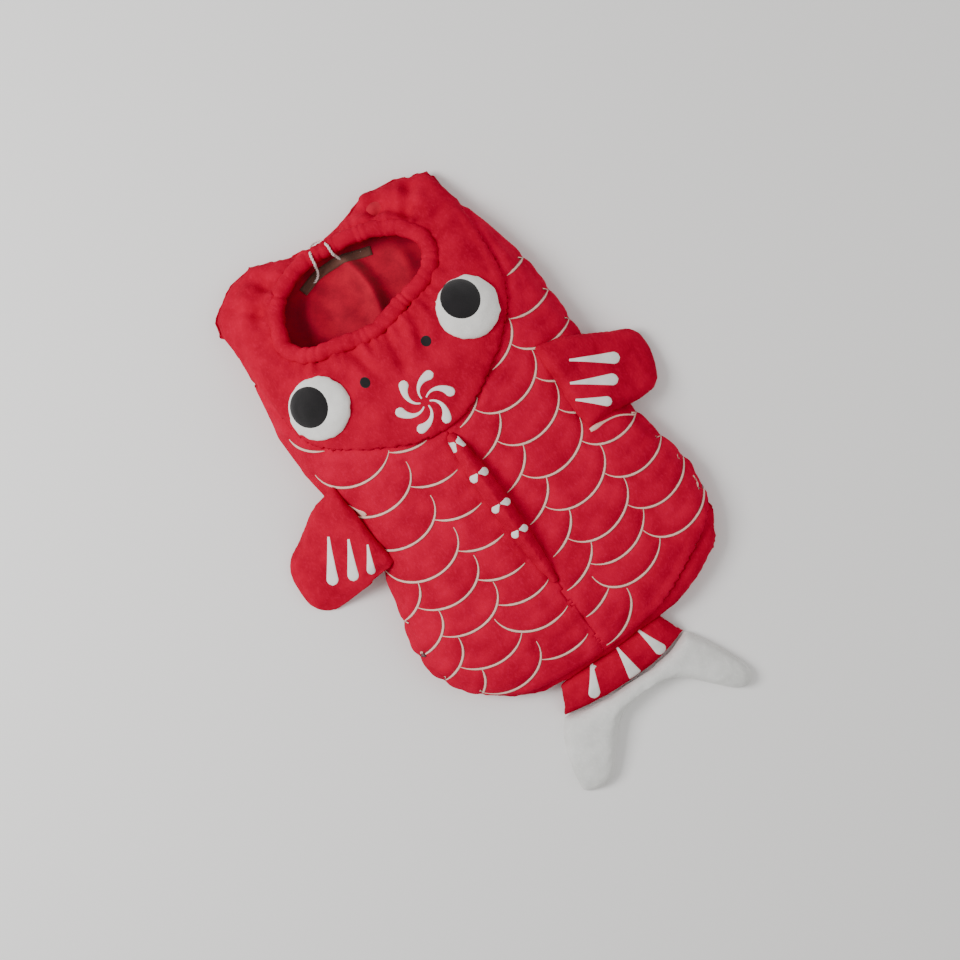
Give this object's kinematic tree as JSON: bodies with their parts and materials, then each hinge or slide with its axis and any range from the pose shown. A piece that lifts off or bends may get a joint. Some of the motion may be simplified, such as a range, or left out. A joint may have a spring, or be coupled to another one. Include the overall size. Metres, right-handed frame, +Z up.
{
  "type": "carp streamer",
  "caption": "Padded fleece carp lying on its back panel, with a gathered open mouth, stuffed side fins, a back fin, a forked tail and a hanging cord.",
  "frame": {"origin": "On the floor, under the middle of the whole object's box.", "axes": "+Z is up, away from the back panel that it lies on. +Y points to the head and -Y to the tail. +X is the right-hand side as seen from above with the head away."},
  "size_m": [0.5083, 0.7496, 0.1029],
  "materials": {
    "red_fleece": "brushed pile cloth with stitched scale lines",
    "plain_fleece": "brushed pile cloth",
    "lining": "smooth knitted lining",
    "wadding": "loose polyester wadding",
    "white_felt": "short-napped felt",
    "white_fleece": "brushed pile cloth",
    "black_felt": "short-napped felt",
    "elastic": "woven elastic",
    "brown_tape": "woven cotton tape",
    "cord": "twisted cotton cord"
  },
  "bodies": {
    "bag": {"back_lining": "lining", "back_panel": "plain_fleece", "back_wadding": "wadding", "front_lining": "lining", "front_wadding": "wadding", "hanging_cord": "cord", "head_panel": "plain_fleece", "head_wadding": "wadding", "left_eye_cap": "white_felt", "left_eye_stuffing": "wadding", "left_front_panel": "red_fleece", "left_nostril": "black_felt", "left_pupil": "black_felt", "lower_gusset": "plain_fleece", "mouth_band": "red_fleece", "mouth_elastic": "elastic", "neck_tape": "brown_tape", "right_eye_cap": "white_felt", "right_eye_stuffing": "wadding", "right_front_panel": "red_fleece", "right_nostril": "black_felt", "right_pupil": "black_felt", "whorl_petal_1": "white_felt", "whorl_petal_2": "white_felt", "whorl_petal_3": "white_felt", "whorl_petal_4": "white_felt", "whorl_petal_5": "white_felt", "whorl_petal_6": "white_felt"},
    "left_fin": {"left_fin_back": "plain_fleece", "left_fin_drop_1": "white_felt", "left_fin_drop_2": "white_felt", "left_fin_drop_3": "white_felt", "left_fin_front": "plain_fleece", "left_fin_stuffing": "wadding"},
    "right_fin": {"right_fin_back": "plain_fleece", "right_fin_drop_1": "white_felt", "right_fin_drop_2": "white_felt", "right_fin_drop_3": "white_felt", "right_fin_front": "plain_fleece", "right_fin_stuffing": "wadding"},
    "back_fin": {"back_fin_cover": "red_fleece", "back_fin_stuffing": "wadding", "left_back_fin_drop_1": "white_felt", "left_back_fin_drop_2": "white_felt", "left_back_fin_drop_3": "white_felt", "left_back_fin_drop_4": "white_felt", "right_back_fin_drop_1": "white_felt", "right_back_fin_drop_2": "white_felt", "right_back_fin_drop_3": "white_felt", "right_back_fin_drop_4": "white_felt"},
    "tail": {"cuff_wedge": "white_felt", "left_cuff_drop": "white_felt", "right_cuff_drop": "white_felt", "tail_cuff_back": "plain_fleece", "tail_cuff_front": "plain_fleece", "tail_cuff_stuffing": "wadding", "tail_fork_back": "white_fleece", "tail_fork_front": "white_fleece", "tail_fork_stuffing": "wadding"}
  },
  "joints": [
    {"name": "left_fin_flap", "type": "hinge", "parent": "bag", "child": "left_fin", "pos_m": [-0.1368, 0.0455, 0.0523], "axis": [-0.0512, 0.9986, 0.0119], "range_deg": [0, 110]},
    {"name": "right_fin_flap", "type": "hinge", "parent": "bag", "child": "right_fin", "pos_m": [0.1303, 0.0405, 0.06518], "axis": [-0.0261, -0.9993, -0.0283], "range_deg": [0, 110]},
    {"name": "back_fin_lean", "type": "hinge", "parent": "bag", "child": "back_fin", "pos_m": [0, -0.032, 0.07339], "axis": [0, 0.9981, 0.0624], "range_deg": [-20, 20], "stiffness_Nm_per_rad": 0.05},
    {"name": "tail_bend", "type": "hinge", "parent": "bag", "child": "tail", "pos_m": [0.005, -0.24968, 0.016], "axis": [-1, 0, 0], "range_deg": [-45, 45]}
  ]
}
